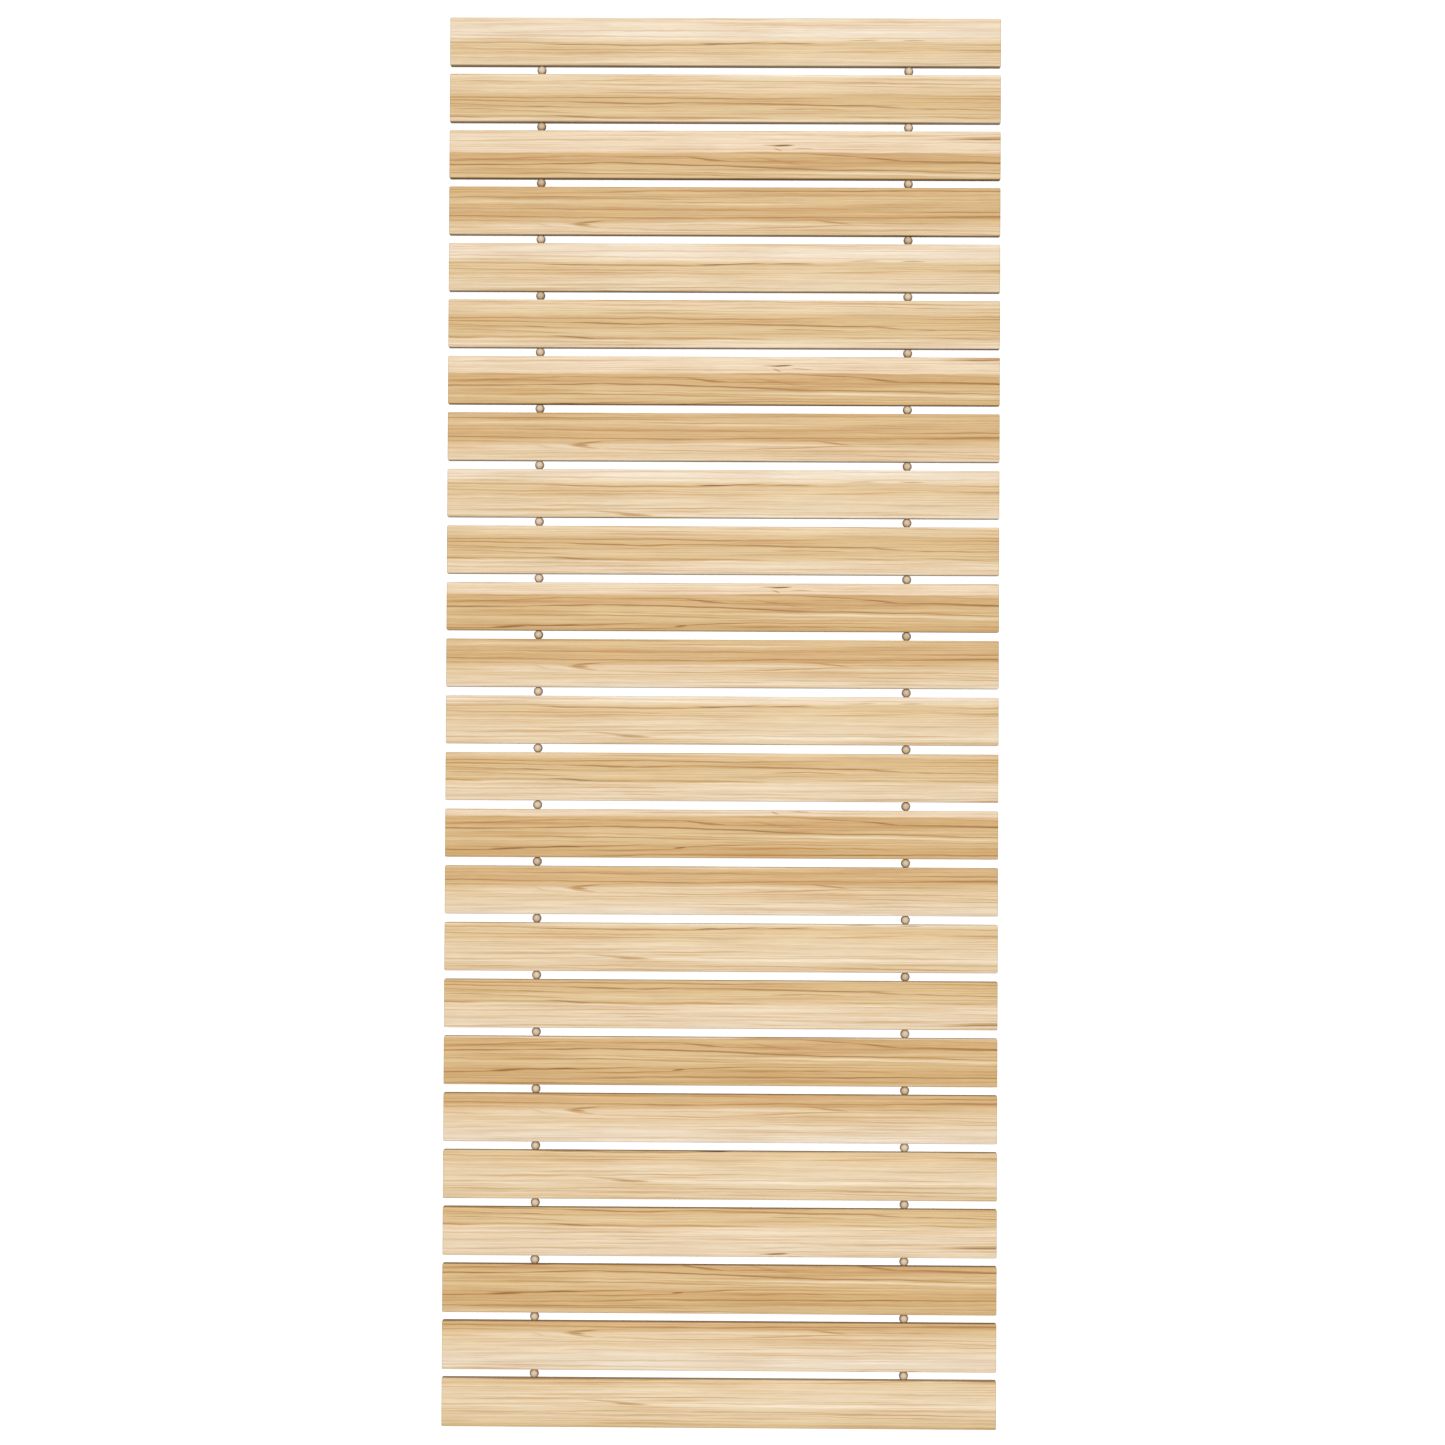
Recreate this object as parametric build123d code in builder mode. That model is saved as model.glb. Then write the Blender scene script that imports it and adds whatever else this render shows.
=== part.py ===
from build123d import *
import os
from math import sqrt

# A roll-up bath mat: flat wooden slats strung on two cords, with a round bead on each cord in every gap.
# X runs along the slats, +Y to the rear end, +Z up. The origin is the middle of the underside.

os.makedirs("parts", exist_ok=True)

# Slats
slat_count = 25
slat_length = 450.0
slat_width = 39.2
slat_thickness = 10.0
slat_edge_radius = 0.9

# Cords, and the two rows that they run in
cord_spacing = 300.0
cord_diameter = 2.0
cord_to_slat = 0.5  # radial room in a slat's bore
cord_to_bead = 0.25  # radial room in a bead's bore

# Beads: their diameter sets the gap between slats, less what sits in the two bore mouths
bead_diameter = 7.5
bead_seat = 0.25  # how far a bead sits inside each mouth
bead_to_mouth = 0.3  # room between a bead and the rim of a mouth

# Knots, sunk in pockets in the outer side faces of the end slats
knot_diameter = 5.2
knot_length = 4.6
knot_nose_radius = 1.6
knot_seat_radius = 0.5
knot_to_pocket = 0.4  # radial room in the pocket
knot_recess = 1.0  # from a knot's nose to the face of the slat

# What follows from them
slat_gap = bead_diameter - 2 * bead_seat
pitch = slat_width + slat_gap
cord_height = slat_thickness / 2
bore_radius = cord_diameter / 2 + cord_to_slat
mouth_radius = sqrt((bead_diameter / 2 + bead_to_mouth) ** 2 - (slat_gap / 2) ** 2)
pocket_radius = knot_diameter / 2 + knot_to_pocket
pocket_depth = knot_length + knot_recess
mat_end_y = (slat_count - 1) / 2 * pitch + slat_width / 2
cord_end_y = mat_end_y - pocket_depth
sides = {"left": -cord_spacing / 2, "right": cord_spacing / 2}
ends = {"front": -1, "rear": 1}


def across_cord(x, y, toward=1):
    """A plane across the cords, at their height, with its normal along +Y or -Y."""
    return Plane(origin=(x, y, cord_height), x_dir=(1, 0, 0), z_dir=(0, toward, 0))


def write(piece, name):
    piece.part.label = name
    export_step(piece.part, f"parts/{name}.step")


def make_slat(number):
    """One slat with its two bores, and the knots' pockets if it is the first or the last."""
    middle_y = ((slat_count + 1) / 2 - number) * pitch
    with BuildPart() as slat:
        with BuildSketch(Plane((0, middle_y, 0))):
            Rectangle(slat_length, slat_width)
        extrude(amount=slat_thickness)
        fillet(slat.edges(), slat_edge_radius)
        with Locations(across_cord(0, middle_y)):
            with GridLocations(cord_spacing, 1, 2, 1):
                Hole(bore_radius)
        # The bores' rims are bevelled to let the beads in. A bore wider than that needs no bevel.
        rims = slat.edges().filter_by(lambda edge: edge.is_closed)
        if mouth_radius > bore_radius:
            chamfer(rims, mouth_radius - bore_radius)
        if number in (1, slat_count):
            toward = 1 if number == 1 else -1
            with BuildSketch(across_cord(0, toward * mat_end_y, toward)):
                with GridLocations(cord_spacing, 1, 2, 1):
                    Circle(pocket_radius)
            extrude(amount=-pocket_depth, mode=Mode.SUBTRACT)
    write(slat, f"slat_{number:02d}")


def make_beads(number):
    """The left and right bead in the gap in front of a slat."""
    gap_y = (slat_count / 2 - number) * pitch
    with BuildPart() as beads:
        with Locations(across_cord(0, gap_y)):
            with GridLocations(cord_spacing, 1, 2, 1):
                Sphere(bead_diameter / 2)
                Hole(cord_diameter / 2 + cord_to_bead)
    write(beads, f"beads_{number:02d}")


def make_cord(side, x):
    """One cord, from the seat of its front knot to the seat of its rear knot."""
    with BuildPart() as cord:
        with BuildSketch(across_cord(x, -cord_end_y)):
            Circle(cord_diameter / 2)
        extrude(amount=2 * cord_end_y)
    write(cord, f"{side}_cord")


def make_knot(side, x, end, toward):
    """One knot, drawn up against the floor of its pocket, with its nose pointing out of the mat."""
    with BuildPart() as knot:
        with BuildSketch(across_cord(x, toward * cord_end_y, toward)):
            Circle(knot_diameter / 2)
        extrude(amount=knot_length)
        seat_rim, nose_rim = knot.edges().filter_by(GeomType.CIRCLE).sort_by(Axis((0, 0, 0), (0, toward, 0)))
        fillet(nose_rim, knot_nose_radius)
        fillet(seat_rim, knot_seat_radius)
    write(knot, f"{side}_{end}_knot")


for slat_number in range(1, slat_count + 1):
    make_slat(slat_number)

for gap_number in range(1, slat_count):
    make_beads(gap_number)

for side_name, side_x in sides.items():
    make_cord(side_name, side_x)
    for end_name, end_toward in ends.items():
        make_knot(side_name, side_x, end_name, end_toward)
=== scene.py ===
# A roll-up bath mat: flat slats of pale hardwood strung on two cords, with a turned bead on each cord
# in every gap. Metres, with +X along the slats, +Y to the rear end and the floor at Z = 0.
import bpy
import bmesh
import math
from mathutils import Matrix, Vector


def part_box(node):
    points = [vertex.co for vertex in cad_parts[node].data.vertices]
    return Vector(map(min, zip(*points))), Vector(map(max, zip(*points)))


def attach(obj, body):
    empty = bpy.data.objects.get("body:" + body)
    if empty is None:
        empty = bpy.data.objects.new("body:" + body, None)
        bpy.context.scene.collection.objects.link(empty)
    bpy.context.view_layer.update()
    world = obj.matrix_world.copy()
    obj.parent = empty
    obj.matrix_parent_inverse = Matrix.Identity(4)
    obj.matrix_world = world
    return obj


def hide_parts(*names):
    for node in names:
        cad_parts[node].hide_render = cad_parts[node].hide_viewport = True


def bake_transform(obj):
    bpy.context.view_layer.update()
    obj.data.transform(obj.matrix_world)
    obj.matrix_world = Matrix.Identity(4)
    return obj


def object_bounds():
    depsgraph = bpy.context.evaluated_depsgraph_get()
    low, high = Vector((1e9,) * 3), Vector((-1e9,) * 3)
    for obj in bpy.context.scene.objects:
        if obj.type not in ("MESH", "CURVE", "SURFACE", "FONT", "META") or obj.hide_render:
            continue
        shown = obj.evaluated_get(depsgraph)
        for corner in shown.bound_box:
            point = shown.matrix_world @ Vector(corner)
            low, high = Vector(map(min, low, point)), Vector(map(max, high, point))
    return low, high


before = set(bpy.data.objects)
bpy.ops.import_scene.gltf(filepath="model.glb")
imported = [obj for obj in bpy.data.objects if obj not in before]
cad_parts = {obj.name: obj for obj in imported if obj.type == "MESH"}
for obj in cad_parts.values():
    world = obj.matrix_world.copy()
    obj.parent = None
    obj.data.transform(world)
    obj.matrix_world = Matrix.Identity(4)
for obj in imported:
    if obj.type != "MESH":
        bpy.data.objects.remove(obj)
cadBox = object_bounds()
millimetre = 0.001
together = 1e-6        # points nearer than this, in metres, are one
slatNames = sorted(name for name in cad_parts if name.startswith("slat_"))
gapNames = sorted(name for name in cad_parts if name.startswith("beads_"))
print("frame loaded:", len(slatNames), "slats and", len(gapNames), "gaps")


# small helpers
def middle(node):
    low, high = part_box(node)
    return (low + high) / 2


def sizeOf(node):
    low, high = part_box(node)
    return high - low


def startFresh():
    if bpy.context.object and bpy.context.object.mode != "OBJECT":
        bpy.ops.object.mode_set(mode="OBJECT")
    bpy.ops.object.select_all(action="DESELECT")


def activate(piece):
    startFresh()
    piece.select_set(True)
    bpy.context.view_layer.objects.active = piece


def pick(piece, mode, test):
    # in edit mode, selects the vertices, edges or faces that pass the test
    bpy.ops.mesh.select_mode(type=mode)
    bpy.ops.mesh.select_all(action="DESELECT")
    mesh = bmesh.from_edit_mesh(piece.data)
    for part in {"VERT": mesh.verts, "EDGE": mesh.edges, "FACE": mesh.faces}[mode]:
        part.select_set(test(part))
    mesh.select_flush_mode()
    bmesh.update_edit_mesh(piece.data)


def applyPlace(piece):
    activate(piece)
    bpy.ops.object.transform_apply(location=True, rotation=True, scale=True)


def closeUp(piece, smoothAngle):
    # merges what lies together, turns every face outwards and smooths what is meant to be round
    activate(piece)
    bpy.ops.object.mode_set(mode="EDIT")
    bpy.ops.mesh.select_all(action="SELECT")
    bpy.ops.mesh.remove_doubles(threshold=together)
    bpy.ops.mesh.normals_make_consistent(inside=False)
    bpy.ops.object.mode_set(mode="OBJECT")
    bpy.ops.object.shade_smooth_by_angle(angle=math.radians(smoothAngle))


def cutAway(piece, cutter):
    activate(piece)
    cut = piece.modifiers.new("cut", "BOOLEAN")
    cut.operation = "DIFFERENCE"
    cut.solver = "EXACT"
    cut.object = cutter
    bpy.ops.object.modifier_apply(modifier=cut.name)
    bpy.data.objects.remove(cutter)


def copyTo(pattern, name, shift):
    # a copy with its own mesh, moved inside the mesh so that the object stays at the origin
    piece = pattern.copy()
    piece.data = pattern.data.copy()
    piece.name = name
    piece.data.name = name
    piece.data.transform(Matrix.Translation(shift))
    bpy.context.scene.collection.objects.link(piece)
    return piece


def linear(hexColour):
    # sRGB, as six hex digits, to the linear colour that a socket takes
    channels = [int(hexColour[i:i + 2], 16) / 255 for i in (0, 2, 4)]
    return [c / 12.92 if c <= 0.04045 else ((c + 0.055) / 1.055) ** 2.4 for c in channels] + [1.0]


def addNode(tree, kind, inputs=None, **settings):
    # a node with its settings, and its inputs by name or number: each a value or another node's output
    node = tree.nodes.new(kind)
    for name, value in settings.items():
        setattr(node, name, value)
    for name, value in (inputs or {}).items():
        if isinstance(value, bpy.types.NodeSocket):
            tree.links.new(value, node.inputs[name])
        else:
            node.inputs[name].default_value = value
    return node


def fillRamp(ramp, stops):
    # stops are (place from 0 to 1, hex colour)
    while len(ramp.elements) < len(stops):
        ramp.elements.new(0.5)
    for element, (place, colour) in zip(ramp.elements, stops):
        element.position = place
    for element, (place, colour) in zip(ramp.elements, stops):
        element.color = linear(colour)


def newMaterial(name):
    material = bpy.data.materials.new(name)
    material.use_nodes = True
    tree = material.node_tree
    return material, tree, tree.nodes["Principled BSDF"]


# what the pieces share
plainSlat = slatNames[len(slatNames) // 2]
slatSize = sizeOf(plainSlat)
slatPitch = middle(slatNames[0]).y - middle(slatNames[1]).y
slatGap = slatPitch - slatSize.y
cordHeight = middle("left_cord").z
cordSides = {"left": middle("left_cord").x, "right": middle("right_cord").x}
cordRadius = sizeOf("left_cord").x / 2
boreShare = 1 / 3      # a bead's bore against its width
beadRadius = sizeOf(gapNames[0]).y / 2 / math.cos(math.asin(boreShare))   # the bore cuts off its ends

# Planed and sanded pale hardwood with a thin satin oil: cream sapwood and honey heartwood in bands,
# with fine brown growth lines drawn out along the slats. One flat-sawn figure runs on from slat to slat
# and comes back every 180.5 mm. "across" is counted from the rear edge, "along" from the left end.
slatWood = {
    "repeat": 180.5,                 # mm
    "tones": [                       # (mm across, colour): the bands
        (0.0, "EAD8BB"), (14.0, "EEE2D0"), (19.0, "EAD9B9"), (20.0, "DDC499"), (27.0, "E3CBA2"),
        (36.0, "E9D7B8"), (48.3, "ECDCC0"), (49.5, "E4D0AD"), (55.0, "E8D4B4"), (60.0, "E2CCA5"),
        (67.0, "D6B681"), (77.0, "E0C89D"), (82.0, "DEC599"), (83.5, "EBD9BC"), (102.0, "EBDAC0"),
        (110.0, "E9D5B8"), (111.2, "D6B682"), (117.0, "D2AF79"), (128.0, "E2CA9D"), (138.0, "D2AF79"),
        (150.0, "DBC091"), (158.0, "D6B582"), (164.0, "D4B27E"), (166.0, "D9BC8C"), (173.0, "E7D2B0"),
    ],
    "stain": [(0.0, "FFFFFF"), (0.35, "DDC39D"), (1.0, "82603B")],   # what a dark line does to the tone
    "paleTone": "FBF0DE",
    "lean": 0.55,                    # how far the growth lines lean with depth on average, mm per mm
    "leanRun": 17.0,                 # mm: the lean goes with the sine of the distance across, over this
    "lineWander": 0.45,              # mm
    "wanderRun": (38.0, 9.0),        # mm along and across
    # Finer grain, drawn out along the slat: mm between lines, how many times longer than wide, and detail
    "grain": {
        "ring": (1.9, 110, 1.0),
        "fine": (0.8, 130, 2.0),
        "fibre": (0.5, 26, 2.0),
        "cloud": (11.0, 5, 2.0),     # slow light and dark patches
    },
    # How dark each gets: none at the first noise value, and the given depth at the second
    "grainDepth": {
        "ring": (0.48, 0.7, 0.2),
        "fine": (0.4, 0.7, 0.18),
        "fibre": (0.35, 0.75, 0.07),
    },
    "cloudiness": (0.98, 1.04),      # how much darker and lighter the slow patches are
    "paintedSideShade": 0.9,                # painted shade: the sides and underside a shade darker than the top
    "paintedShadeFrom": (0.3, 1.6),          # mm below the top, where that painted shade starts and is full
    "endWithin": (0.9, 0.2),         # mm from the sawn end, where its pores start and are full
    "pores": 2.2,                    # to the millimetre
    "poreShade": (0.7, 1.05),
    "roughness": (0.46, 0.62),
    "relief": 0.06,                  # mm
    # Growth lines: from (along, across) to (along, across), half width, depth of colour. Millimetres.
    "lines": [
        # rear honey band
        (60, 21.2, 175, 22.9, 0.7, 0.35), (78, 21.9, 122, 22.4, 0.5, 0.57),
        (115, 23.0, 215, 22.6, 0.95, 0.27), (-40, 20.6, 90, 20.9, 0.85, 0.18),
        (-40, 24.8, 95, 26.7, 0.65, 0.27), (203, 21.7, 233, 21.6, 0.6, 0.99),
        (222, 21.5, 262, 20.2, 0.65, 0.57), (260, 21.1, 298, 20.6, 0.6, 0.62),
        (-60, 28.6, 330, 28.6, 0.65, 0.23), (290, 28.6, 400, 26.3, 0.7, 0.27),
        (370, 26.3, 520, 26.2, 0.65, 0.27), (324, 18.4, 350, 18.2, 0.5, 0.42),
        (369, 18.5, 389, 18.3, 0.5, 0.52), (-40, 41.8, 130, 42.1, 0.7, 0.17),
        (112, 42.2, 165, 45.8, 1, 0.25), (138, 45.3, 168, 46.2, 1.2, 0.38),
        (145, 40.8, 250, 39.7, 0.7, 0.17), (160, 42.6, 222, 42.6, 1.1, 0.13),
        # first honey band
        (-40, 52.2, 100, 52.4, 0.5, 0.27), (75, 52.3, 168, 50.9, 0.5, 0.27),
        (150, 50.9, 330, 52.4, 0.5, 0.25), (300, 52.3, 480, 55.4, 0.5, 0.18),
        (-40, 54.9, 110, 55.0, 0.5, 0.18), (85, 54.7, 300, 54.4, 0.5, 0.23),
        (260, 54.5, 420, 56.9, 0.5, 0.23), (372, 56.2, 405, 56.7, 0.5, 0.31),
        (390, 56.8, 520, 58.3, 0.5, 0.21), (-40, 58.0, 150, 57.9, 0.5, 0.16),
        (-40, 64.6, 100, 66.3, 0.6, 0.18), (80, 66.0, 195, 65.3, 0.65, 0.35),
        (150, 65.4, 265, 66.8, 0.65, 0.39), (220, 66.8, 330, 65.1, 0.6, 0.23),
        (330, 65.0, 520, 66.6, 0.65, 0.25), (-40, 67.6, 110, 69.2, 0.65, 0.39),
        (90, 69.0, 172, 71.2, 0.85, 0.52), (140, 71.1, 205, 69.4, 0.7, 0.44),
        (175, 69.6, 250, 69.9, 0.65, 0.44), (215, 69.8, 330, 71.7, 0.85, 0.49),
        (285, 71.6, 362, 72.1, 1, 0.44), (335, 71.6, 375, 74.2, 0.7, 0.39),
        (355, 73.9, 530, 76.2, 0.6, 0.34), (380, 74.2, 402, 74.6, 0.5, 0.52),
        (-40, 70.2, 100, 73.6, 0.65, 0.27), (55, 72.4, 85, 73.2, 0.7, 0.38),
        (-5, 75.0, 40, 75.2, 0.6, 0.35), (28, 75.4, 105, 78.4, 0.6, 0.27), (-20, 81.0, 32, 82.3, 0.7, 0.34),
        (85, 80.3, 127, 82.5, 0.85, 0.44), (115, 82.0, 158, 81.9, 0.6, 0.25),
        (150, 81.4, 262, 82.1, 1, 0.27), (264, 74.9, 302, 74.4, 0.6, 0.47),
        (290, 74.7, 326, 75.2, 0.6, 0.34), (300, 80.8, 372, 81.4, 0.6, 0.21),
        (382, 80.4, 452, 82.3, 0.6, 0.23),
        # cream sapwood
        (300, 91.4, 425, 91.6, 0.85, 0.13), (143, 93.2, 177, 93.0, 0.5, 0.25),
        (68, 96.9, 200, 96.5, 0.5, 0.16), (410, 99.4, 470, 98.4, 0.8, 0.72),
        (404, 98.6, 490, 97.2, 1.9, 0.3), (240, 99.5, 290, 99.4, 0.5, 0.23),
        (103, 106.3, 222, 105.2, 0.5, 0.18), (263, 104.7, 281, 104.1, 0.8, 1),
        (256, 104.3, 280, 104.4, 0.7, 0.42), (265, 106.6, 272, 109.0, 0.9, 0.35),
        (280, 106.4, 298, 107.2, 0.6, 0.39), (300, 107.6, 350, 107.6, 0.5, 0.13),
        # second honey band
        (-20, 118.6, 50, 115.8, 0.7, 0.21), (30, 116.1, 110, 113.2, 0.65, 0.25),
        (80, 113.2, 142, 114.4, 0.6, 0.23), (108, 114.3, 218, 113.8, 0.7, 0.31),
        (190, 113.8, 234, 118.2, 0.7, 0.48), (205, 116.1, 223, 117.5, 0.65, 0.44),
        (215, 117.8, 305, 117.9, 0.65, 0.27), (238, 112.5, 292, 121.0, 0.85, 0.14),
        (-60, 121.4, 95, 120.4, 0.6, 0.49), (60, 120.6, 142, 118.6, 0.65, 0.59),
        (108, 118.8, 205, 120.2, 0.7, 0.59), (165, 120.0, 255, 121.8, 0.7, 0.59),
        (220, 121.5, 305, 124.2, 0.65, 0.49), (270, 124.0, 405, 125.3, 0.5, 0.44),
        (360, 125.0, 490, 127.9, 0.6, 0.48), (285, 111.2, 354, 114.6, 0.65, 0.39),
        (335, 113.8, 374, 117.4, 0.75, 0.49), (350, 117.0, 445, 117.7, 0.85, 0.45),
        (392, 117.6, 520, 119.6, 1.1, 0.52), (-60, 125.2, 165, 124.9, 0.5, 0.21),
        (120, 124.9, 262, 128.3, 0.5, 0.25), (-60, 127.8, 62, 127.0, 0.5, 0.27),
        (28, 126.9, 195, 128.3, 0.5, 0.38), (160, 128.4, 305, 131.0, 0.5, 0.27),
        (-60, 131.0, 175, 131.4, 0.5, 0.17), (393, 111.8, 475, 113.9, 0.5, 0.27),
        (-30, 139.2, 62, 138.0, 0.65, 0.45), (34, 138.1, 70, 136.3, 1.1, 0.62),
        (50, 136.7, 132, 135.4, 0.65, 0.56), (84, 135.6, 112, 135.4, 0.65, 0.62),
        (108, 135.6, 168, 133.6, 0.5, 0.34), (118, 138.6, 204, 137.4, 0.65, 0.35),
        (186, 136.8, 197, 135.6, 0.9, 0.62), (189, 135.8, 252, 133.2, 0.6, 0.48),
        (232, 133.4, 375, 133.8, 0.5, 0.27), (-60, 141.3, 62, 141.6, 0.5, 0.23),
        (48, 144.5, 164, 143.0, 0.6, 0.27), (108, 143.7, 178, 141.7, 0.6, 0.31),
        (148, 142.0, 335, 142.2, 0.65, 0.39), (278, 142.2, 404, 141.0, 0.7, 0.48),
        (358, 141.2, 520, 141.8, 0.5, 0.34), (-60, 147.4, 195, 147.0, 0.65, 0.42),
        (148, 146.8, 285, 146.6, 0.5, 0.31), (98, 148.4, 205, 148.4, 0.6, 0.21),
        (233, 137.2, 302, 136.6, 0.65, 0.21), (323, 136.6, 374, 137.6, 0.6, 0.27),
        (284, 136.3, 317, 137.4, 0.6, 0.29), (138, 151.0, 245, 151.4, 0.5, 0.23),
        (348, 151.8, 480, 150.6, 0.5, 0.21), (295, 148.5, 480, 148.3, 0.5, 0.17),
        (-60, 153.8, 125, 153.6, 0.5, 0.17), (58, 156.5, 175, 158.4, 0.5, 0.21),
        (98, 157.4, 345, 157.6, 0.6, 0.27), (220, 155.3, 365, 157.0, 1.15, 0.17),
        (300, 155.0, 500, 155.2, 0.5, 0.17), (378, 158.8, 500, 158.4, 0.6, 0.21),
        (-60, 162.4, 115, 163.6, 0.65, 0.35), (78, 163.6, 235, 164.8, 1, 0.31),
        (203, 164.6, 315, 162.8, 0.85, 0.31), (268, 163.6, 425, 163.2, 0.65, 0.38),
        (378, 163.0, 500, 161.8, 1.1, 0.45),
        # cathedral point at the front of the figure
        (97, 169.4, 130, 166.0, 1, 0.38), (97, 169.5, 126, 172.5, 0.95, 0.31),
        (101, 169.4, 116, 169.8, 1.2, 0.44), (113, 172.6, 235, 174.6, 0.65, 0.21),
        (113, 166.8, 155, 165.6, 0.6, 0.17), (298, 165.6, 331, 169.2, 0.85, 0.34),
        (222, 173.6, 337, 169.0, 0.65, 0.27), (58, 175.6, 235, 176.2, 0.5, 0.13),
        (298, 176.4, 405, 178.6, 0.5, 0.21), (388, 175.0, 475, 178.4, 0.5, 0.21),
        (398, 179.0, 485, 180.2, 0.5, 0.25), (69, 167.6, 85, 172.4, 0.7, 0.13),
    ],
    # Pale places, the same way
    "pale": [
        (120, 17.2, 420, 16.4, 1.45, 0.4), (40, 17.4, 120, 17.2, 0.95, 0.3),
        (160, 46.8, 520, 47.4, 2.1, 0.45), (20, 171.6, 82, 172.0, 3.7, 0.3),
        (66, 168.4, 132, 172.8, 2.1, 0.4), (112, 169.6, 318, 168.8, 2.9, 0.38),
        (238, 126.6, 410, 127.4, 1.05, 0.5), (-40, 151.8, 120, 151.4, 1.3, 0.3),
        (-60, 87.0, 420, 86.6, 1.6, 0.2), (390, 104.0, 520, 105.0, 3.2, 0.3),
        (150, 152.8, 300, 152.6, 0.7, 0.35), (300, 126.6, 480, 130.0, 1.3, 0.3),
    ],
}


def growthLineGroup():
    # one drawn-out spot: full along its middle, fading to its sides and tips, kept where it is the deepest
    group = bpy.data.node_groups.new("growthLine", "ShaderNodeTree")
    for name, kind in (("Place", "Vector"), ("Middle", "Vector"), ("Turn", "Vector"), ("Half size", "Vector"),
                       ("Depth", "Float"), ("So far", "Float")):
        group.interface.new_socket(name, in_out="INPUT", socket_type="NodeSocket" + kind)
    group.interface.new_socket("So far", in_out="OUTPUT", socket_type="NodeSocketFloat")
    given = addNode(group, "NodeGroupInput").outputs
    placed = addNode(group, "ShaderNodeMapping", {"Vector": given["Place"], "Location": given["Middle"],
                                                  "Rotation": given["Turn"], "Scale": given["Half size"]},
                     vector_type="TEXTURE")
    spot = addNode(group, "ShaderNodeTexGradient", {"Vector": placed.outputs[0]}, gradient_type="SPHERICAL")
    faded = addNode(group, "ShaderNodeMapRange", {"Value": spot.outputs["Fac"], "From Max": 0.75,
                                                  "To Max": given["Depth"]}, interpolation_type="SMOOTHSTEP")
    darker = addNode(group, "ShaderNodeMath", {0: faded.outputs[0], 1: given["So far"]}, operation="MAXIMUM")
    addNode(group, "NodeGroupOutput", {"So far": darker.outputs[0]})
    return group


def drawLines(tree, group, place, lines):
    # a tapering line fades before its tip, so it is drawn longer than it looks
    tipRoom = 0.66
    soFar = 0.0
    for along0, across0, along1, across1, halfWidth, depth in lines:
        length = math.hypot(along1 - along0, across1 - across0)
        node = addNode(tree, "ShaderNodeGroup", node_tree=group)
        node.inputs["Middle"].default_value = ((along0 + along1) / 2, (across0 + across1) / 2, 0)
        node.inputs["Turn"].default_value = (0, 0, math.atan2(across1 - across0, along1 - along0))
        node.inputs["Half size"].default_value = (length * tipRoom, halfWidth, 1)
        node.inputs["Depth"].default_value = depth
        tree.links.new(place, node.inputs["Place"])
        if soFar:
            tree.links.new(soFar, node.inputs["So far"])
        soFar = node.outputs["So far"]
    return soFar


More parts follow.
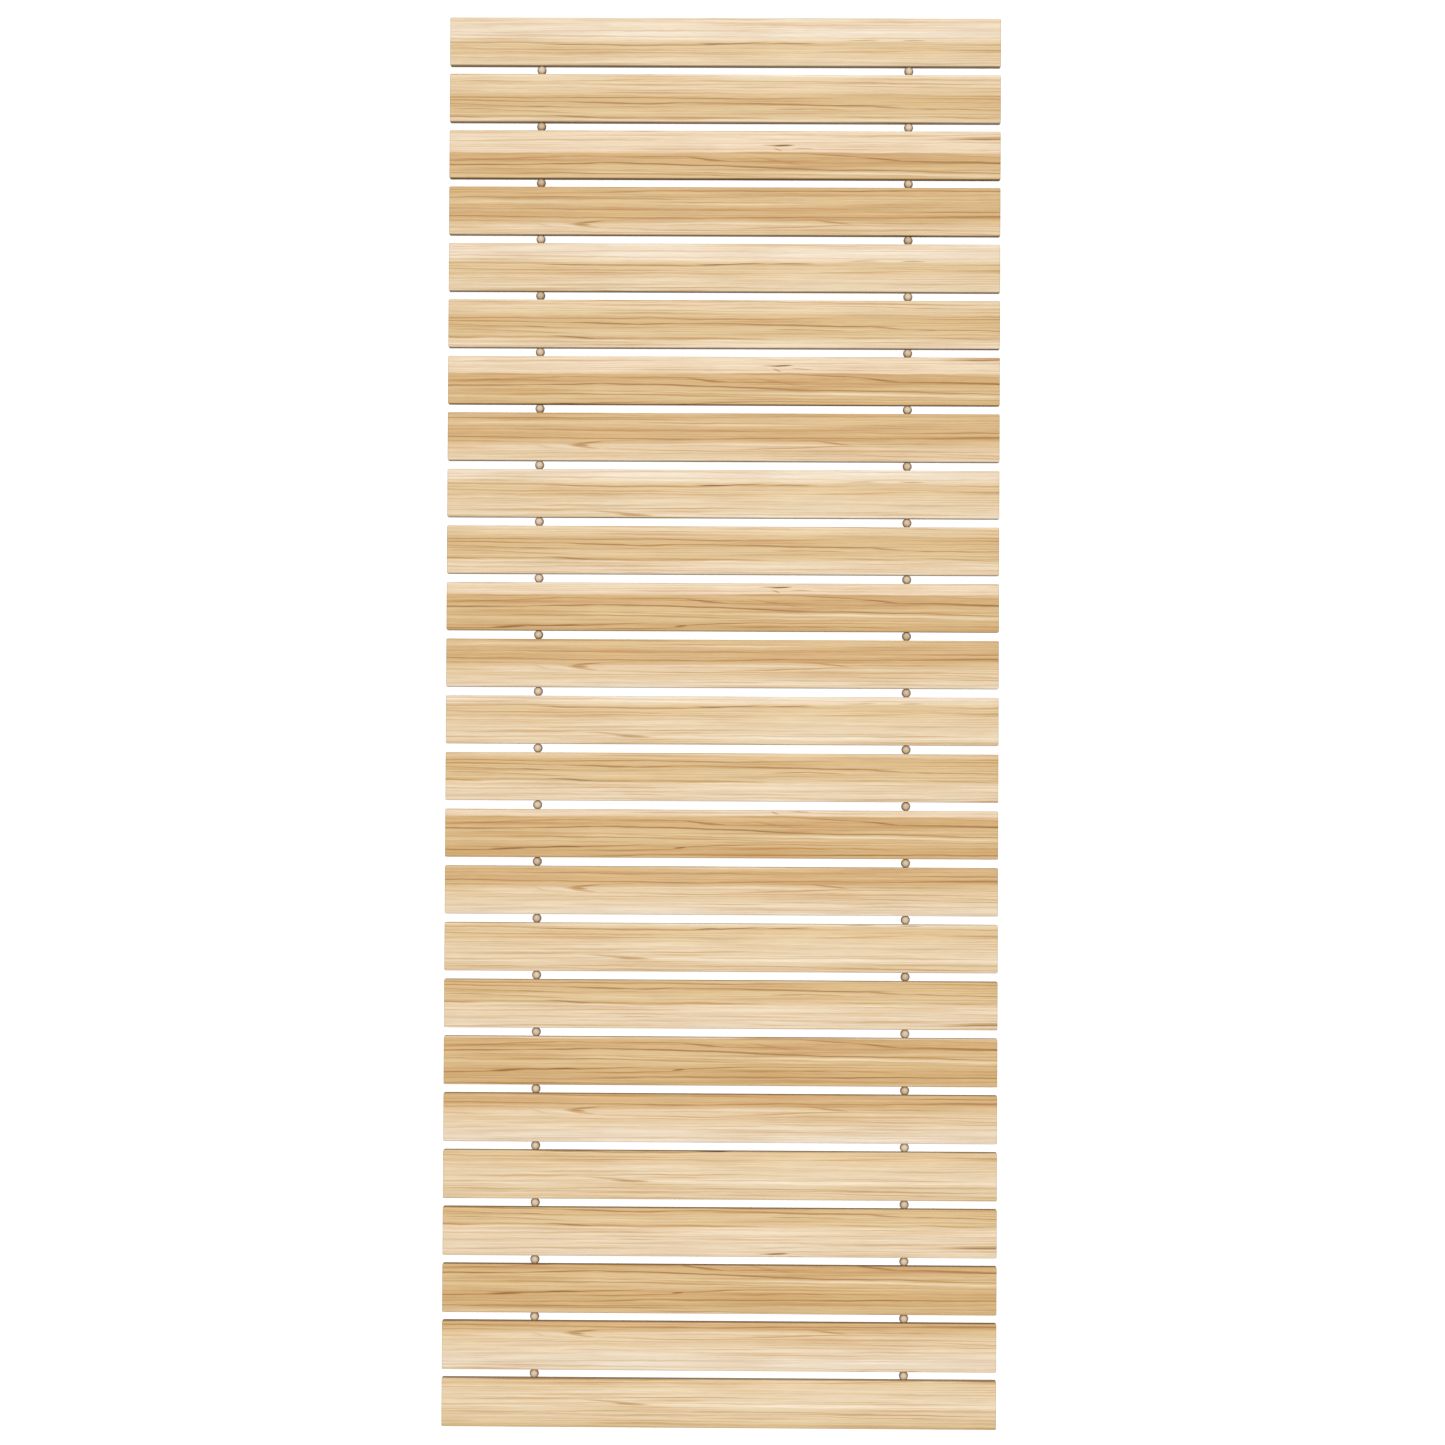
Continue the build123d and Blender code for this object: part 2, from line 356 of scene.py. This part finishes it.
def makeSlatWood():
    material, tree, shader = newMaterial("oiledHardwoodPlaned")
    wood = slatWood
    mathNode = "ShaderNodeMath"
    place = addNode(tree, "ShaderNodeTexCoord").outputs["Object"]
    inMillimetres = addNode(tree, "ShaderNodeVectorMath", {0: place, "Scale": 1 / millimetre},
                            operation="SCALE")
    split = addNode(tree, "ShaderNodeSeparateXYZ", {0: inMillimetres.outputs[0]})
    halfLength = slatSize.x / 2 / millimetre
    along = addNode(tree, mathNode, {0: split.outputs["X"], 1: halfLength}, operation="ADD")
    fromRear = addNode(tree, mathNode, {0: cadBox[1].y / millimetre, 1: split.outputs["Y"]},
                       operation="SUBTRACT")
    below = addNode(tree, mathNode, {0: slatSize.z / millimetre, 1: split.outputs["Z"]}, operation="SUBTRACT")
    # the growth lines lean, more and less across the board, so that sides and end grain join the top
    swing = addNode(tree, mathNode, {0: fromRear.outputs[0], 1: 1 / wood["leanRun"]}, operation="MULTIPLY")
    swing = addNode(tree, mathNode, {0: swing.outputs[0]}, operation="SINE")
    lean = addNode(tree, mathNode, {0: swing.outputs[0], 1: wood["lean"], 2: wood["lean"]},
                   operation="MULTIPLY_ADD")
    leaned = addNode(tree, mathNode, {0: below.outputs[0], 1: lean.outputs[0], 2: fromRear.outputs[0]},
                     operation="MULTIPLY_ADD")
    straight = addNode(tree, "ShaderNodeCombineXYZ", {0: along.outputs[0], 1: leaned.outputs[0]})
    # a slow wander of the lines along the board
    runAlong, runAcross = wood["wanderRun"]
    wanderScale = (1 / runAlong, 1 / runAcross, 1)
    wanderPlace = addNode(tree, "ShaderNodeVectorMath", {0: straight.outputs[0], 1: wanderScale},
                          operation="MULTIPLY")
    wander = addNode(tree, "ShaderNodeTexNoise", {"Vector": wanderPlace.outputs[0], "Scale": 1.0,
                                                  "Detail": 2.0})
    wandered = addNode(tree, mathNode, {0: wander.outputs[0], 1: 0.5}, operation="SUBTRACT")
    # noise stays within about a quarter of its middle, so four times that is about one
    wandered = addNode(tree, mathNode, {0: wandered.outputs[0], 1: 4 * wood["lineWander"],
                                        2: leaned.outputs[0]}, operation="MULTIPLY_ADD")
    across = addNode(tree, mathNode, {0: wandered.outputs[0], 1: wood["repeat"], 2: 0.0}, operation="WRAP")
    figure = addNode(tree, "ShaderNodeCombineXYZ", {0: along.outputs[0], 1: across.outputs[0]}).outputs[0]

    # bands of sapwood and heartwood
    bandPlace = addNode(tree, mathNode, {0: across.outputs[0], 1: 1 / wood["repeat"]}, operation="MULTIPLY")
    bands = addNode(tree, "ShaderNodeValToRGB", {0: bandPlace.outputs[0]})
    fillRamp(bands.color_ramp, [(mm / wood["repeat"], colour) for mm, colour in wood["tones"]])
    group = growthLineGroup()
    dark = drawLines(tree, group, figure, wood["lines"])
    pale = drawLines(tree, group, figure, wood["pale"])

    # fine growth lines and fibres, drawn out along the slat
    grains = {}
    for name, (spacing, stretch, detail) in wood["grain"].items():
        grainScale = (1 / (spacing * stretch), 1 / spacing, 1)
        scaled = addNode(tree, "ShaderNodeVectorMath", {0: figure, 1: grainScale}, operation="MULTIPLY")
        grains[name] = addNode(tree, "ShaderNodeTexNoise", {"Vector": scaled.outputs[0], "Scale": 1.0,
                                                            "Detail": detail, "Roughness": 0.55})
    depth = dark
    for name, (palest, darkest, most) in wood["grainDepth"].items():
        streak = addNode(tree, "ShaderNodeMapRange", {"Value": grains[name].outputs[0], "From Min": palest,
                                                      "From Max": darkest, "To Max": most})
        depth = addNode(tree, mathNode, {0: streak.outputs[0], 1: depth}, operation="ADD").outputs[0]
    stain = addNode(tree, "ShaderNodeValToRGB", {0: depth})
    fillRamp(stain.color_ramp, wood["stain"])

    paled = addNode(tree, "ShaderNodeMix", {0: pale, 6: bands.outputs[0], 7: linear(wood["paleTone"])},
                    data_type="RGBA")
    lined = addNode(tree, "ShaderNodeMix", {0: 1.0, 6: paled.outputs[2], 7: stain.outputs[0]},
                    data_type="RGBA", blend_type="MULTIPLY")
    cloudy = addNode(tree, "ShaderNodeMapRange", {"Value": grains["cloud"].outputs[0], "From Min": 0.3,
                                                  "From Max": 0.7, "To Min": wood["cloudiness"][0],
                                                  "To Max": wood["cloudiness"][1]})
    clouded = addNode(tree, "ShaderNodeVectorMath", {0: lined.outputs[2], "Scale": cloudy.outputs[0]},
                      operation="SCALE")

    # painted shade: the sides and underside darker than the top
    paintedShade = addNode(tree, "ShaderNodeMapRange", {"Value": below.outputs[0], "From Min": wood["paintedShadeFrom"][0],
                                                 "From Max": wood["paintedShadeFrom"][1], "To Min": 1.0,
                                                 "To Max": wood["paintedSideShade"]})
    withPaintedShade = addNode(tree, "ShaderNodeVectorMath", {0: clouded.outputs[0], "Scale": paintedShade.outputs[0]},
                     operation="SCALE")

    # sawn ends: open pores, and darker where the oil soaked in
    fromMiddle = addNode(tree, mathNode, {0: split.outputs["X"]}, operation="ABSOLUTE")
    atEnd = addNode(tree, "ShaderNodeMapRange", {"Value": fromMiddle.outputs[0],
                                                 "From Min": halfLength - wood["endWithin"][0],
                                                 "From Max": halfLength - wood["endWithin"][1]})
    pores = addNode(tree, "ShaderNodeTexVoronoi", {"Vector": inMillimetres.outputs[0],
                                                   "Scale": wood["pores"]}, feature="F1")
    poreDepth = addNode(tree, "ShaderNodeMapRange", {"Value": pores.outputs["Distance"], "From Min": 0.1,
                                                     "From Max": 0.45, "To Min": wood["poreShade"][0],
                                                     "To Max": wood["poreShade"][1]})
    endTone = addNode(tree, "ShaderNodeVectorMath", {0: withPaintedShade.outputs[0], "Scale": poreDepth.outputs[0]},
                      operation="SCALE")
    colour = addNode(tree, "ShaderNodeMix", {0: atEnd.outputs[0], 6: withPaintedShade.outputs[0],
                                             7: endTone.outputs[0]}, data_type="RGBA")
    tree.links.new(colour.outputs[2], shader.inputs["Base Color"])

    rough = addNode(tree, "ShaderNodeMapRange", {"Value": grains["fibre"].outputs[0],
                                                 "To Min": wood["roughness"][0],
                                                 "To Max": wood["roughness"][1]})
    tree.links.new(rough.outputs[0], shader.inputs["Roughness"])
    shader.inputs["IOR"].default_value = 1.5
    shader.inputs["Specular IOR Level"].default_value = 0.3
    relief = addNode(tree, mathNode, {0: grains["fine"].outputs[0], 1: -0.6, 2: grains["fibre"].outputs[0]},
                     operation="MULTIPLY_ADD")
    bump = addNode(tree, "ShaderNodeBump", {"Height": relief.outputs[0], "Strength": 0.35,
                                            "Distance": wood["relief"] * millimetre})
    tree.links.new(bump.outputs[0], shader.inputs["Normal"])
    return material


# the slats: cut to length, their edges eased, then drilled
slat = {
    "edgeRadius": 0.0009,      # eased by hand with paper
    "edgeSteps": 4,
    "boreRadius": 0.0015,
    "beadRoom": 0.0003,        # between a bead and the rim of the mouth it sits in
    "pocketRadius": 0.003,
    "pocketDepth": 0.0056,
    "roundSteps": 40,
    "smoothUnder": 35,         # degrees
}


def boreCutter(x, radius, wider, y, depth):
    # a round cutter along Y, with its far end wider where it makes a bevelled mouth
    startFresh()
    bpy.ops.mesh.primitive_cone_add(vertices=slat["roundSteps"], radius1=wider, radius2=radius, depth=depth,
                                    location=(x, y, cordHeight), rotation=(math.pi / 2, 0, 0))
    return bpy.context.object


def makeSlat(name, pocketSide):
    # pocketSide is 1 or -1 where a slat's rear or front face has the knots' pockets, and 0 for none
    startFresh()
    bpy.ops.mesh.primitive_cube_add(size=1, location=(0, 0, cordHeight), scale=slatSize)
    piece = bpy.context.object
    piece.name = name
    applyPlace(piece)
    bpy.ops.object.mode_set(mode="EDIT")
    bpy.ops.mesh.select_all(action="SELECT")
    bpy.ops.mesh.bevel(offset=slat["edgeRadius"], segments=slat["edgeSteps"], affect="EDGES")
    bpy.ops.object.mode_set(mode="OBJECT")
    mouthRadius = math.sqrt((beadRadius + slat["beadRoom"]) ** 2 - (slatGap / 2) ** 2)
    bevel = mouthRadius - slat["boreRadius"]
    past = 0.0002              # how far a cutter goes on past the face it opens
    for x in cordSides.values():
        cutAway(piece, boreCutter(x, slat["boreRadius"], slat["boreRadius"], 0, slatSize.y + 2 * past))
        for side in (-1, 1):
            cutter = boreCutter(x, slat["boreRadius"] - past, mouthRadius + past,
                                side * (slatSize.y / 2 - bevel / 2), bevel + 2 * past)
            if side > 0:   # the wide end faces out of the slat on both sides
                cutter.rotation_euler.x = -math.pi / 2
            applyPlace(cutter)
            cutAway(piece, cutter)
        if pocketSide:
            cutAway(piece, boreCutter(x, slat["pocketRadius"], slat["pocketRadius"],
                                      pocketSide * (slatSize.y / 2 - slat["pocketDepth"] / 2 + past),
                                      slat["pocketDepth"] + 2 * past))
    closeUp(piece, slat["smoothUnder"])
    return piece


slatMaterial = makeSlatWood()
patterns = {side: makeSlat("slatPattern", side) for side in (0, 1, -1)}
for pattern in patterns.values():
    pattern.data.materials.append(slatMaterial)
for name in slatNames:
    side = {slatNames[0]: 1, slatNames[-1]: -1}.get(name, 0)
    piece = copyTo(patterns[side], "hardwoodSlat" + name[-2:], (0, middle(name).y, 0))
    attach(piece, name)
    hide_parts(name)
for pattern in patterns.values():
    bpy.data.objects.remove(pattern)
print("slats made:", len(slatNames))


# Turned from close-grained hardwood and drilled along the grain: a warm beige with short fine flecks.
# Painted shade takes it from a pale crown down to brown round the waist and underside.
bead = {
    "rings": 37,
    "segments": 48,
    "boreRing": 4,          # the ring, counted from each end, that is the rim of the bore
    "rimRadius": 0.00022,
    "rimSteps": 3,
    "smoothUnder": 50,      # degrees
    "tones": [(0.3, "C3A98B"), (0.5, "D6C0A4"), (0.72, "E2CFB5")],
    "fleck": 0.45,          # mm wide
    "fleckLength": 5.0,     # times as long
    "relief": 0.04,         # mm
    # painted shade by height, from the bead's underside (0) to its top (1)
    "shadeByHeight": [(0.0, "857565"), (0.55, "85776A"), (0.8, "D2C8BC"), (0.93, "FFFFFF")],
}


def makeBeadWood():
    material, tree, shader = newMaterial("turnedHardwoodSatin")
    place = addNode(tree, "ShaderNodeTexCoord").outputs["Object"]
    perMetre = 1 / (bead["fleck"] * millimetre)
    grainScale = (perMetre, perMetre / bead["fleckLength"], perMetre)
    grainPlace = addNode(tree, "ShaderNodeVectorMath", {0: place, 1: grainScale}, operation="MULTIPLY")
    grain = addNode(tree, "ShaderNodeTexNoise", {"Vector": grainPlace.outputs[0], "Scale": 1.0,
                                                 "Detail": 3.0})
    # a slow change, so that no two beads are quite the same tone
    apart = addNode(tree, "ShaderNodeTexNoise", {"Vector": place, "Scale": 30.0, "Detail": 0.0})
    mixed = addNode(tree, "ShaderNodeMix", {0: 0.55, 2: grain.outputs[0], 3: apart.outputs[0]})
    tones = addNode(tree, "ShaderNodeValToRGB", {0: mixed.outputs[0]})
    fillRamp(tones.color_ramp, bead["tones"])
    # painted shade: the bead darker from its top down to its underside
    height = addNode(tree, "ShaderNodeSeparateXYZ", {0: place}).outputs["Z"]
    upBead = addNode(tree, "ShaderNodeMapRange", {"Value": height, "From Min": cordHeight - beadRadius,
                                                  "From Max": cordHeight + beadRadius})
    shadeByHeight = addNode(tree, "ShaderNodeValToRGB", {0: upBead.outputs[0]})
    fillRamp(shadeByHeight.color_ramp, bead["shadeByHeight"])
    shadedBead = addNode(tree, "ShaderNodeMix", {0: 1.0, 6: tones.outputs[0], 7: shadeByHeight.outputs[0]},
                     data_type="RGBA", blend_type="MULTIPLY")
    tree.links.new(shadedBead.outputs[2], shader.inputs["Base Color"])
    rough = addNode(tree, "ShaderNodeMapRange", {"Value": grain.outputs[0], "To Min": 0.42, "To Max": 0.6})
    tree.links.new(rough.outputs[0], shader.inputs["Roughness"])
    shader.inputs["Specular IOR Level"].default_value = 0.35
    bump = addNode(tree, "ShaderNodeBump", {"Height": grain.outputs[0], "Strength": 0.3,
                                            "Distance": bead["relief"] * millimetre})
    tree.links.new(bump.outputs[0], shader.inputs["Normal"])
    return material


def makeBead(x):
    startFresh()
    bpy.ops.mesh.primitive_uv_sphere_add(segments=bead["segments"], ring_count=bead["rings"],
                                         radius=beadRadius, location=(x, 0, cordHeight),
                                         rotation=(math.pi / 2, 0, 0))
    piece = bpy.context.object
    applyPlace(piece)
    rimAngle = math.pi * bead["boreRing"] / bead["rings"]
    rimY = beadRadius * math.cos(rimAngle)
    bpy.ops.object.mode_set(mode="EDIT")
    pick(piece, "FACE", lambda face: abs(face.calc_center_median().y) > rimY)
    bpy.ops.mesh.delete(type="FACE")
    pick(piece, "EDGE", lambda edge: edge.is_boundary)
    bpy.ops.mesh.bridge_edge_loops()
    pick(piece, "EDGE", lambda edge: all(abs(abs(v.co.y) - rimY) < together for v in edge.verts))
    bpy.ops.mesh.bevel(offset=bead["rimRadius"], segments=bead["rimSteps"], affect="EDGES")
    closeUp(piece, bead["smoothUnder"])
    return piece


def joined(pieces, name):
    activate(pieces[0])
    for piece in pieces[1:]:
        piece.select_set(True)
    bpy.ops.object.join()
    pieces[0].name = name
    return pieces[0]


beadPair = joined([makeBead(x) for x in cordSides.values()], "beadPattern")
beadPair.data.materials.append(makeBeadWood())
for number, name in enumerate(gapNames):
    gapY = middle(name).y
    piece = copyTo(beadPair, "turnedBeads" + name[-2:], (0, gapY, 0))
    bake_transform(piece)
    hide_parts(name)
bpy.data.objects.remove(beadPair)
print("beads made:", 2 * len(gapNames))


# Braided polyester, natural colour: sixteen plaits that cross round the cord, with a soft dull face.
cord = {
    "steps": 28,              # lengths between two slats' middles
    "round": 20,
    "plaits": 8,              # each way round
    "plaitLength": 2.4,       # mm for the pattern to come back
    "relief": 0.12,           # mm
    "smoothUnder": 50,        # degrees
    # the plaits' tone, darker where they sink into the braid: painted shade in its hollows
    "plaitToneAndShade": [(0.0, "B9A27C"), (0.45, "DCCAA8"), (1.0, "EFE3CB")],
}
knot = {
    "cordRadius": 0.00074,    # the cord is drawn thin in a tight knot
    "ringRadius": 0.00138,    # the two turns round the middle
    "swing": 0.00048,         # in and out of that ring
    "lift": 0.0011,           # along the cord
    "steps": 72,
    "smoothUnder": 60,        # degrees
}


def makeCordMaterial():
    material, tree, shader = newMaterial("braidedPolyesterCord")
    uv = addNode(tree, "ShaderNodeTexCoord").outputs["UV"]
    split = addNode(tree, "ShaderNodeSeparateXYZ", {0: uv})
    waves = []
    for way in (-1, 1):
        turned = addNode(tree, "ShaderNodeMath", {0: split.outputs["X"], 1: cord["plaits"] * way,
                                                  2: split.outputs["Y"]}, operation="MULTIPLY_ADD")
        turned = addNode(tree, "ShaderNodeMath", {0: turned.outputs[0], 1: math.tau}, operation="MULTIPLY")
        waves.append(addNode(tree, "ShaderNodeMath", {0: turned.outputs[0]}, operation="SINE"))
    crossing = addNode(tree, "ShaderNodeMath", {0: waves[0].outputs[0], 1: waves[1].outputs[0]},
                       operation="MULTIPLY")
    plait = addNode(tree, "ShaderNodeMapRange", {"Value": crossing.outputs[0], "From Min": -1.0,
                                                 "From Max": 1.0})
    # painted shade: darker where the plaits sink in, where the bump is lowest
    plaitToneAndShade = addNode(tree, "ShaderNodeValToRGB", {0: plait.outputs[0]})
    fillRamp(plaitToneAndShade.color_ramp, cord["plaitToneAndShade"])
    tree.links.new(plaitToneAndShade.outputs[0], shader.inputs["Base Color"])
    shader.inputs["Roughness"].default_value = 0.75
    shader.inputs["Sheen Weight"].default_value = 0.2
    bump = addNode(tree, "ShaderNodeBump", {"Height": plait.outputs[0], "Strength": 0.6,
                                            "Distance": cord["relief"] * millimetre})
    tree.links.new(bump.outputs[0], shader.inputs["Normal"])
    return material


def makeSpan(x):
    # the cord from the middle of one slat to the middle of the next, round and cut into short lengths
    startFresh()
    bpy.ops.mesh.primitive_cylinder_add(vertices=cord["round"], radius=cordRadius, depth=slatPitch,
                                        location=(x, 0, cordHeight), rotation=(math.pi / 2, 0, 0))
    piece = bpy.context.object
    applyPlace(piece)
    bpy.ops.object.mode_set(mode="EDIT")
    pick(piece, "EDGE", lambda edge: abs(edge.verts[0].co.y - edge.verts[1].co.y) > slatPitch / 2)
    bpy.ops.mesh.subdivide(number_cuts=cord["steps"] - 1)
    bpy.ops.object.mode_set(mode="OBJECT")
    layer = piece.data.uv_layers.active.data
    for loop in piece.data.loops:
        along = piece.data.vertices[loop.vertex_index].co.y
        layer[loop.index].uv.y = along / millimetre / cord["plaitLength"]
    bpy.ops.object.shade_smooth_by_angle(angle=math.radians(cord["smoothUnder"]))
    return piece


cordMaterial = makeCordMaterial()
spanPair = joined([makeSpan(x) for x in cordSides.values()], "spanPattern")
spanPair.data.materials.append(cordMaterial)
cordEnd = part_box("left_cord")[1].y
nearEnd = slatPitch / 2 - 0.01 * millimetre
for number, name in enumerate(gapNames):
    gapY = middle(name).y
    piece = copyTo(spanPair, "cordSpan" + name[-2:], (0, gapY, 0))
    # the end spans go on to their knots
    for vertex in piece.data.vertices:
        if number == 0 and vertex.co.y > gapY + nearEnd:
            vertex.co.y = cordEnd
        if number == len(gapNames) - 1 and vertex.co.y < gapY - nearEnd:
            vertex.co.y = -cordEnd
    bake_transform(piece)
    if number == 0:
        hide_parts("left_cord", "right_cord")
bpy.data.objects.remove(spanPair)


def tubeMesh(name, points, radius, closed):
    # a round tube along a smooth line through the points
    curve = bpy.data.curves.new(name, "CURVE")
    curve.dimensions = "3D"
    curve.bevel_depth = radius
    curve.bevel_resolution = 4
    curve.use_fill_caps = True
    spline = curve.splines.new("NURBS")
    spline.points.add(len(points) - 1)
    for point, place in zip(spline.points, points):
        point.co = (*place, 1)
    spline.use_cyclic_u = closed
    spline.use_endpoint_u = not closed
    spline.resolution_u = 3
    piece = bpy.data.objects.new(name, curve)
    bpy.context.scene.collection.objects.link(piece)
    activate(piece)
    bpy.ops.object.convert(target="MESH")
    return bpy.context.object


def makeKnot(name, node):
    # an overhand knot drawn tight in its pocket, with its cut end in the middle
    low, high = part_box(node)
    centre = (low + high) / 2
    toward = 1 if centre.y > 0 else -1
    turns = [math.tau * step / knot["steps"] for step in range(knot["steps"])]
    loop = [(centre.x + (knot["ringRadius"] + knot["swing"] * math.cos(3 * turn)) * math.cos(2 * turn),
             centre.y + knot["lift"] * math.sin(3 * turn),
             centre.z + (knot["ringRadius"] + knot["swing"] * math.cos(3 * turn)) * math.sin(2 * turn))
            for turn in turns]
    half = (high.y - low.y) / 2
    core = [(centre.x, centre.y + toward * half * share, centre.z) for share in (-1.0, -0.5, 0.0, 0.5, 1.0)]
    pieces = [tubeMesh(name, loop, knot["cordRadius"], True),
              tubeMesh(name + "Core", core, knot["cordRadius"], False)]
    piece = joined(pieces, name)
    piece.data.materials.clear()
    piece.data.materials.append(cordMaterial)
    closeUp(piece, knot["smoothUnder"])
    return piece


knotBodies = {"rear": slatNames[0], "front": slatNames[-1]}
for side in cordSides:
    for end, body in knotBodies.items():
        node = side + "_" + end + "_knot"
        piece = makeKnot("knot" + side.title() + end.title(), node)
        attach(piece, body)
        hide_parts(node)
print("cord spans and knots made:", len(gapNames), "and", len(cordSides) * len(knotBodies))


# floor, light and camera
studio = {
    "floorSize": 30.0,
    "floorColour": "F3F1EC",
    "floorShown": 0.16,        # the floor is a thin veil, so that a part rolled under it still shows
    "backdrop": 1.2,
    "fill": 0.25,              # from above
    "fillBelow": 0.13,
    "fillChange": 0.15,        # how far above and below the horizon one goes over into the other
    "softness": 24.0,          # degrees across, for both lamps
    "keyStrength": 2.64,
    "keyTilt": 16.0,           # degrees, from the rear
    "frontStrength": 0.22,
    "frontTilt": -68.0,        # low, from the front
}
camera = {
    "lens": 85.0,              # mm
    "film": 36.0,              # mm wide
    "place": (0.0301, -0.0498, 2.786),
    "turn": (0.997, 0.607, 0.289),   # degrees
}


def makeStudio():
    startFresh()
    bpy.ops.mesh.primitive_plane_add(size=studio["floorSize"])
    floor = bpy.context.object
    floor.name = "paleFloor"
    material, tree, shader = newMaterial("palePaintedFloor")
    tree.nodes.remove(shader)
    clear = addNode(tree, "ShaderNodeBsdfTransparent")
    paint = addNode(tree, "ShaderNodeBsdfDiffuse", {"Color": linear(studio["floorColour"])})
    veil = addNode(tree, "ShaderNodeMixShader", {0: studio["floorShown"], 1: clear.outputs[0],
                                                 2: paint.outputs[0]})
    tree.links.new(veil.outputs[0], tree.nodes["Material Output"].inputs["Surface"])
    floor.data.materials.append(material)

    world = bpy.data.worlds.new("studioWalls")
    bpy.context.scene.world = world
    world.use_nodes = True
    tree = world.node_tree
    seen = addNode(tree, "ShaderNodeLightPath").outputs["Is Camera Ray"]
    direction = addNode(tree, "ShaderNodeTexCoord").outputs["Generated"]
    height = addNode(tree, "ShaderNodeSeparateXYZ", {0: direction})
    fill = addNode(tree, "ShaderNodeMapRange", {"Value": height.outputs["Z"],
                                                "From Min": -studio["fillChange"],
                                                "From Max": studio["fillChange"],
                                                "To Min": studio["fillBelow"], "To Max": studio["fill"]})
    strength = addNode(tree, "ShaderNodeMix", {0: seen, 2: fill.outputs[0], 3: studio["backdrop"]})
    walls = tree.nodes["Background"]
    walls.inputs["Color"].default_value = (1, 1, 1, 1)
    tree.links.new(strength.outputs[0], walls.inputs["Strength"])

    for name in ("key", "front"):
        bpy.ops.object.light_add(type="SUN", location=(0, 0, 3),
                                 rotation=(-math.radians(studio[name + "Tilt"]), 0, 0))
        light = bpy.context.object
        light.name = name + "Light"
        light.data.energy = studio[name + "Strength"]
        light.data.angle = math.radians(studio["softness"])

    bpy.ops.object.camera_add(location=camera["place"], rotation=[math.radians(a) for a in camera["turn"]])
    lensBody = bpy.context.object
    lensBody.data.lens = camera["lens"]
    lensBody.data.sensor_width = camera["film"]
    lensBody.data.clip_start = 0.05
    lensBody.data.clip_end = 100.0
    bpy.context.scene.camera = lensBody
    bpy.context.scene.view_settings.view_transform = "Standard"
    bpy.context.scene.view_settings.look = "None"


makeStudio()
print("floor, light and camera placed")
